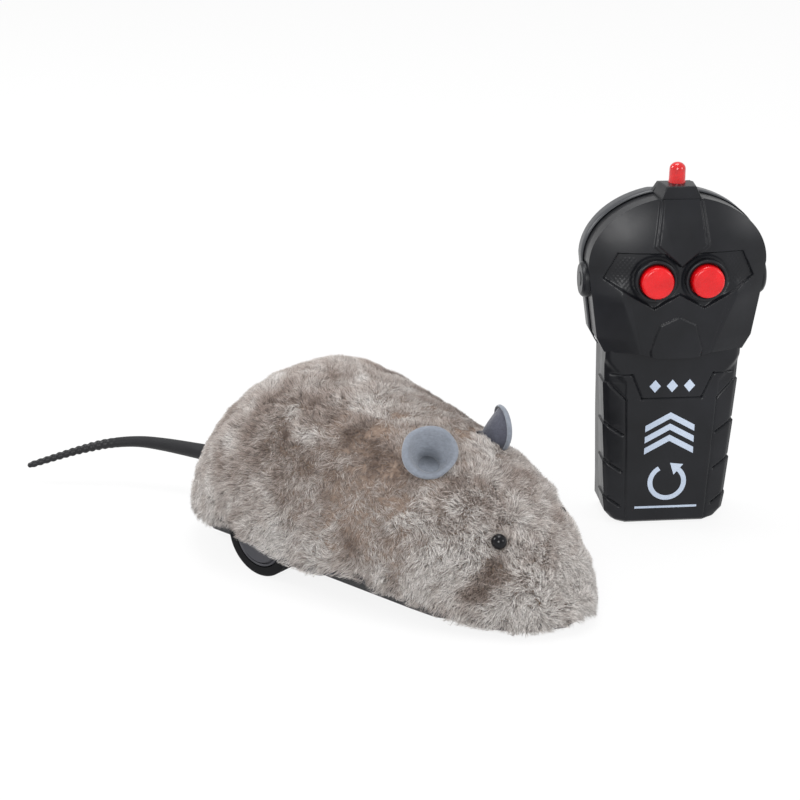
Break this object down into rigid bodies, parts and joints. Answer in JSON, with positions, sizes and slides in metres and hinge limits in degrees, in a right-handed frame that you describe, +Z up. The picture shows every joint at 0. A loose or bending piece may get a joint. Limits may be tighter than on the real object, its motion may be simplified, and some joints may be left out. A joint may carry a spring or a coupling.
{
  "type": "remote-controlled plush mouse pet toy",
  "caption": "Plush toy mouse on a motor-driven wheeled chassis, with felt ears and a ridged rubber tail, and its upright hand control with red push buttons.",
  "frame": {"origin": "middle of the set's box, on the floor that the wheels and the hand control's foot stand on", "axes": "+X towards the mouse's nose, +Y towards the hand control, +Z up"},
  "size_m": [0.1954, 0.1394, 0.111],
  "materials": {
    "plush": "short plush pile, mottled grey-brown with pale tips",
    "felt": "blue-grey felt",
    "bead": "glossy black bead",
    "tail_rubber": "satin black rubber",
    "tyre_rubber": "matte black rubber",
    "chassis_plastic": "moulded black plastic",
    "gear_plastic": "white moulded plastic",
    "steel": "plated steel",
    "cell_case": "plain wrapped cell",
    "circuit_board": "green circuit board",
    "wire_red": "red insulated wire",
    "wire_black": "black insulated wire",
    "remote_plastic": "satin black moulded plastic",
    "red_button": "bright red plastic",
    "red_lens": "red translucent lens"
  },
  "bodies": {
    "chassis": {"fur_cover": "plush", "top_shell": "chassis_plastic", "ear_left": "felt", "ear_right": "felt", "eye_left": "bead", "eye_right": "bead", "tail_socket": "chassis_plastic", "chassis_base": "chassis_plastic", "chassis_screw_left": "steel", "chassis_screw_right": "steel", "power_switch_body": "steel", "gear_pin_a": "steel", "gear_pin_b": "steel", "gearbox_frame": "chassis_plastic", "gearbox_cover": "chassis_plastic", "gearbox_screw": "steel", "motor_can": "steel", "motor_end_cap": "gear_plastic", "mouse_cell_left": "cell_case", "mouse_cell_right": "cell_case", "mouse_contact_bridge": "steel", "mouse_terminal_left": "steel", "mouse_terminal_right": "steel", "receiver_board": "circuit_board", "motor_lead_red": "wire_red", "motor_lead_black": "wire_black"},
    "axle_set": {"rear_axle": "steel", "wheel_left": "chassis_plastic", "wheel_right": "chassis_plastic", "tyre_left": "tyre_rubber", "tyre_right": "tyre_rubber", "final_gear": "gear_plastic"},
    "compound_a": {"compound_gear_a": "gear_plastic"},
    "compound_b": {"compound_gear_b": "gear_plastic"},
    "pinion": {"motor_pinion": "gear_plastic"},
    "caster": {"caster_fork": "chassis_plastic", "caster_pin": "steel", "caster_screw": "steel"},
    "caster_roller": {"caster_wheel": "chassis_plastic"},
    "switch": {"power_switch_knob": "chassis_plastic"},
    "mouse_door": {"mouse_battery_door": "chassis_plastic", "mouse_door_screw": "steel"},
    "tail": {"tail": "tail_rubber"},
    "remote": {"remote_front_shell": "remote_plastic", "remote_rear_shell": "remote_plastic", "remote_face_panel": "remote_plastic", "remote_side_cap_left": "remote_plastic", "remote_side_cap_right": "remote_plastic", "indicator_light": "red_lens", "remote_cell_left": "cell_case", "remote_cell_right": "cell_case", "remote_contact_bridge": "steel", "remote_board": "circuit_board", "button_membrane": "tyre_rubber", "remote_screw_left": "steel", "remote_screw_right": "steel"},
    "button_left": {"left_button": "red_button"},
    "button_right": {"right_button": "red_button"},
    "remote_door": {"remote_battery_door": "remote_plastic", "remote_door_screw": "steel"}
  },
  "joints": [
    {"name": "rear_axle_spin", "type": "hinge", "parent": "chassis", "child": "axle_set", "pos_m": [0.0085, -0.03291, 0.0115], "axis": [0, 1, 0], "continuous": true},
    {"name": "compound_a_spin", "type": "hinge", "parent": "chassis", "child": "compound_a", "pos_m": [-0.00793, -0.03291, 0.01916], "axis": [0, 1, 0], "continuous": true},
    {"name": "compound_b_spin", "type": "hinge", "parent": "chassis", "child": "compound_b", "pos_m": [-0.00005, -0.03291, 0.01461], "axis": [0, 1, 0], "continuous": true},
    {"name": "motor_spin", "type": "hinge", "parent": "chassis", "child": "pinion", "pos_m": [-0.01624, -0.03291, 0.01694], "axis": [0, 1, 0], "continuous": true},
    {"name": "caster_swivel", "type": "hinge", "parent": "chassis", "child": "caster", "pos_m": [0.0831, -0.03291, 0.004], "axis": [0, 0, 1], "range_deg": [-40, 0]},
    {"name": "caster_roll", "type": "hinge", "parent": "caster", "child": "caster_roller", "pos_m": [0.0806, -0.03291, 0.004], "axis": [0, 1, 0], "continuous": true},
    {"name": "power_switch_slide", "type": "slide", "parent": "chassis", "child": "switch", "axis": [1, 0, 0], "range_m": [0, 0.004]},
    {"name": "mouse_battery_door_hinge", "type": "hinge", "parent": "chassis", "child": "mouse_door", "pos_m": [0.0218, -0.03291, 0.0032], "axis": [0, 1, 0], "range_deg": [0, 80]},
    {"name": "tail_flex", "type": "hinge", "parent": "chassis", "child": "tail", "pos_m": [-0.0311, -0.03291, 0.0148], "axis": [0, 0, 1], "range_deg": [-15, 15], "stiffness_Nm_per_rad": 0.02},
    {"name": "remote_lift", "type": "slide", "parent": "chassis", "child": "remote", "axis": [0, 0, 1], "range_m": [0, 0.12]},
    {"name": "left_button_press", "type": "slide", "parent": "remote", "child": "button_left", "axis": [-0.7071, 0.7071, 0], "range_m": [0, 0.0015], "stiffness_N_per_m": 300},
    {"name": "right_button_press", "type": "slide", "parent": "remote", "child": "button_right", "axis": [-0.7071, 0.7071, 0], "range_m": [0, 0.0015], "stiffness_N_per_m": 300},
    {"name": "remote_battery_door_hinge", "type": "hinge", "parent": "remote", "child": "remote_door", "pos_m": [0.06567, 0.05242, 0.0083], "axis": [-0.7071, -0.7071, 0], "range_deg": [0, 90]}
  ],
  "couplings": [
    {"joint": "compound_b_spin", "follows": "rear_axle_spin", "ratio": -2.6},
    {"joint": "compound_a_spin", "follows": "rear_axle_spin", "ratio": 6.76},
    {"joint": "motor_spin", "follows": "rear_axle_spin", "ratio": -21.97}
  ]
}
